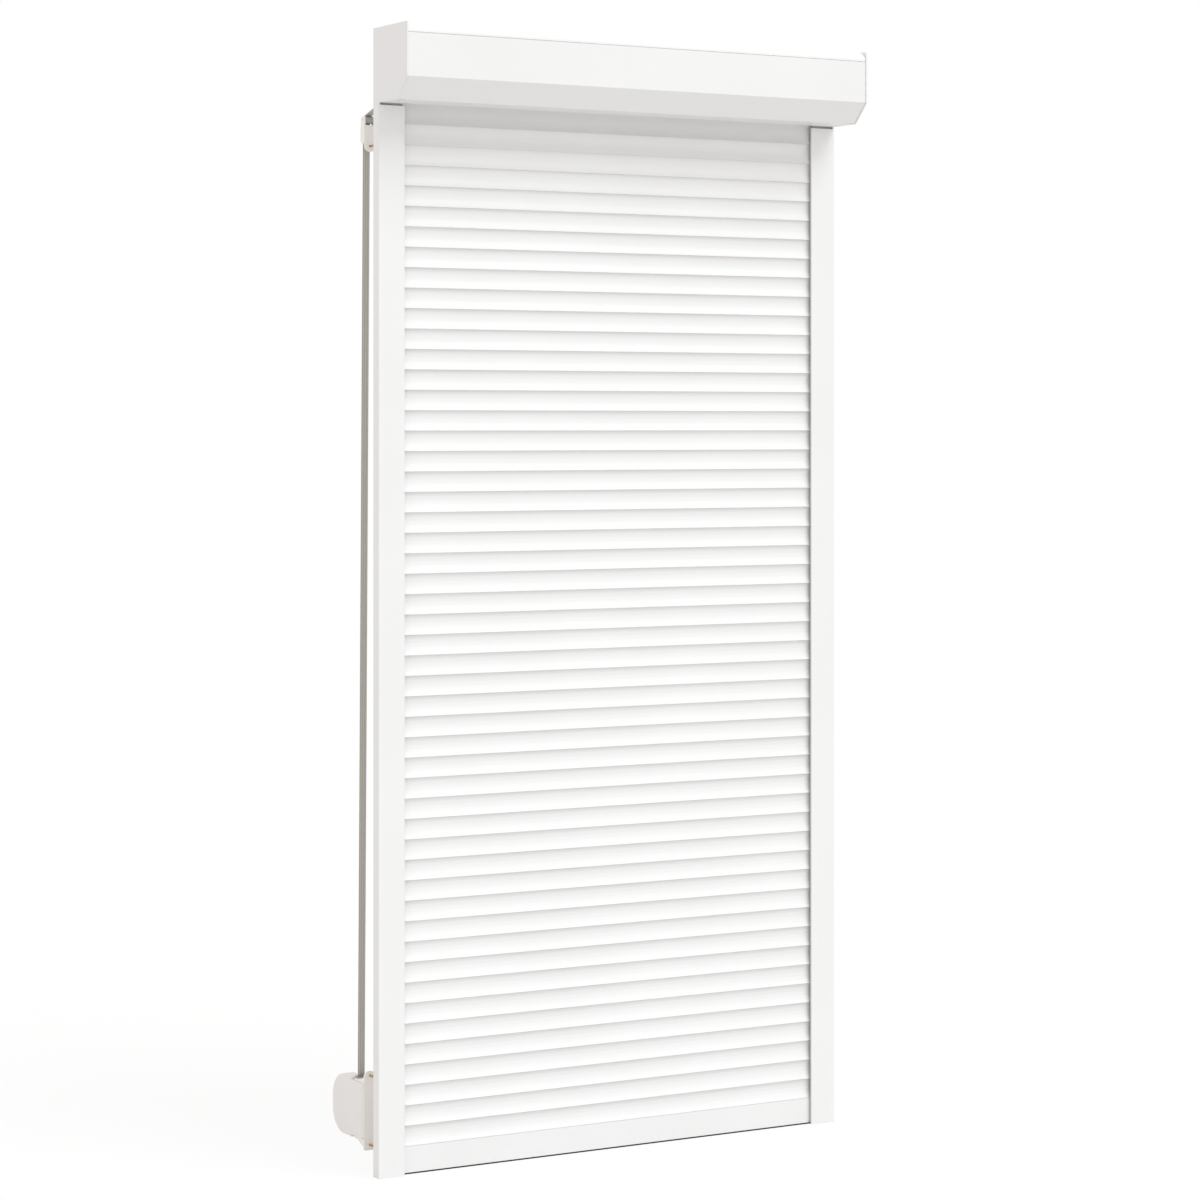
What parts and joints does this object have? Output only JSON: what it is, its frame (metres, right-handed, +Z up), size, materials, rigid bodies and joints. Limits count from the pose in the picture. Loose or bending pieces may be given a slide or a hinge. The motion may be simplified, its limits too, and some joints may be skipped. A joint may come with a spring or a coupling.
{
  "type": "exterior roller shutter",
  "caption": "Exterior roller shutter: square bevelled box, hooked hollow slats in two guide rails, and a strap drive with a wall guide and a swivelling winder.",
  "frame": {"origin": "middle of the box's rear face, at the height of the roller's axis", "axes": "+X along the box to its right end seen from outside the bevel, +Y out of the box's rear into the room, +Z up"},
  "size_m": [1, 0.334, 2.1],
  "materials": {
    "white_lacquer": "satin coil-coated aluminium",
    "white_cap": "satin lacquered die casting",
    "dark_brush_seal": "matt",
    "black_rubber": "matt",
    "strap_webbing": "woven with lengthwise stripes",
    "white_plastic": "satin moulded",
    "ivory_plastic": "satin moulded",
    "grey_nylon": "moulded",
    "brass_screw": "plated",
    "zinc_steel": "zinc plated",
    "spring_steel": "hardened"
  },
  "bodies": {
    "casing": {"box_rear_cover": "white_lacquer", "box_front_cover": "white_lacquer", "left_end_cap": "white_cap", "right_end_cap": "white_cap", "cover_screws": "zinc_steel", "cover_rivets": "zinc_steel", "left_guide_rail": "white_lacquer", "right_guide_rail": "white_lacquer", "left_rail_seals": "dark_brush_seal", "right_rail_seals": "dark_brush_seal", "left_inlet_guide": "grey_nylon", "right_inlet_guide": "grey_nylon", "bearing_outer_rings": "zinc_steel", "bearing_balls": "zinc_steel", "strap": "strap_webbing", "strap_outlet_bush": "grey_nylon", "strap_guide_body": "ivory_plastic", "strap_guide_axle": "zinc_steel", "strap_guide_screw": "brass_screw", "winder_bracket": "ivory_plastic", "winder_bracket_screws": "brass_screw"},
    "curtain": {"slats_01": "white_lacquer", "slats_02": "white_lacquer", "slats_03": "white_lacquer", "slats_04": "white_lacquer", "slats_05": "white_lacquer", "slats_06": "white_lacquer", "slats_07": "white_lacquer", "slats_08": "white_lacquer", "slats_09": "white_lacquer", "slats_10": "white_lacquer", "slats_11": "white_lacquer", "slats_12": "white_lacquer", "slats_13": "white_lacquer", "left_slat_locks": "grey_nylon", "right_slat_locks": "grey_nylon", "bottom_bar": "white_lacquer", "bottom_bar_seal": "black_rubber", "bar_end_stops": "grey_nylon", "curtain_hangers": "spring_steel"},
    "roller": {"roller_tube": "zinc_steel", "strap_pulley": "grey_nylon", "strap_on_pulley": "strap_webbing", "pulley_journal": "zinc_steel", "idler_capsule": "grey_nylon", "idler_pin": "zinc_steel", "tube_screws": "zinc_steel", "bearing_inner_rings": "zinc_steel"},
    "guide_roller": {"strap_guide_roller": "grey_nylon"},
    "winder": {"winder_left_shell": "white_plastic", "winder_right_shell": "white_plastic", "winder_shell_screws": "zinc_steel", "winder_swivel_bush": "grey_nylon", "winder_swivel_pin": "zinc_steel", "winder_spool_axle": "zinc_steel", "winder_mainspring": "spring_steel", "winder_strap_tail": "strap_webbing"},
    "spool": {"winder_spool": "grey_nylon", "winder_spool_strap": "strap_webbing"}
  },
  "joints": [
    {"name": "curtain_lift", "type": "slide", "parent": "casing", "child": "curtain", "axis": [0, 0, 1], "range_m": [0, 1.9037], "deforming": ["slats_01", "slats_02", "slats_03", "slats_04", "slats_05", "slats_06", "slats_07", "slats_08", "slats_09", "slats_10", "slats_11", "slats_12", "slats_13", "left_slat_locks", "right_slat_locks", "curtain_hangers"]},
    {"name": "tube_spin", "type": "hinge", "parent": "casing", "child": "roller", "pos_m": [0, -0.0685, 0], "axis": [1, 0, 0], "range_deg": [0, 2160]},
    {"name": "guide_roller_spin", "type": "hinge", "parent": "casing", "child": "guide_roller", "pos_m": [-0.475, 0.072, -0.092], "axis": [1, 0, 0], "continuous": true},
    {"name": "winder_swivel", "type": "hinge", "parent": "casing", "child": "winder", "pos_m": [-0.475, 0.102, -1.9235], "axis": [0, 0, 1], "range_deg": [-80, 80]},
    {"name": "spool_spin", "type": "hinge", "parent": "winder", "child": "spool", "pos_m": [-0.475, 0.136, -1.9235], "axis": [1, 0, 0], "range_deg": [0, 3530]}
  ],
  "couplings": [
    {"joint": "tube_spin", "follows": "curtain_lift", "rad_per_m": 19.8},
    {"joint": "guide_roller_spin", "follows": "curtain_lift", "rad_per_m": -126.8},
    {"joint": "spool_spin", "follows": "curtain_lift", "rad_per_m": 32.3}
  ]
}
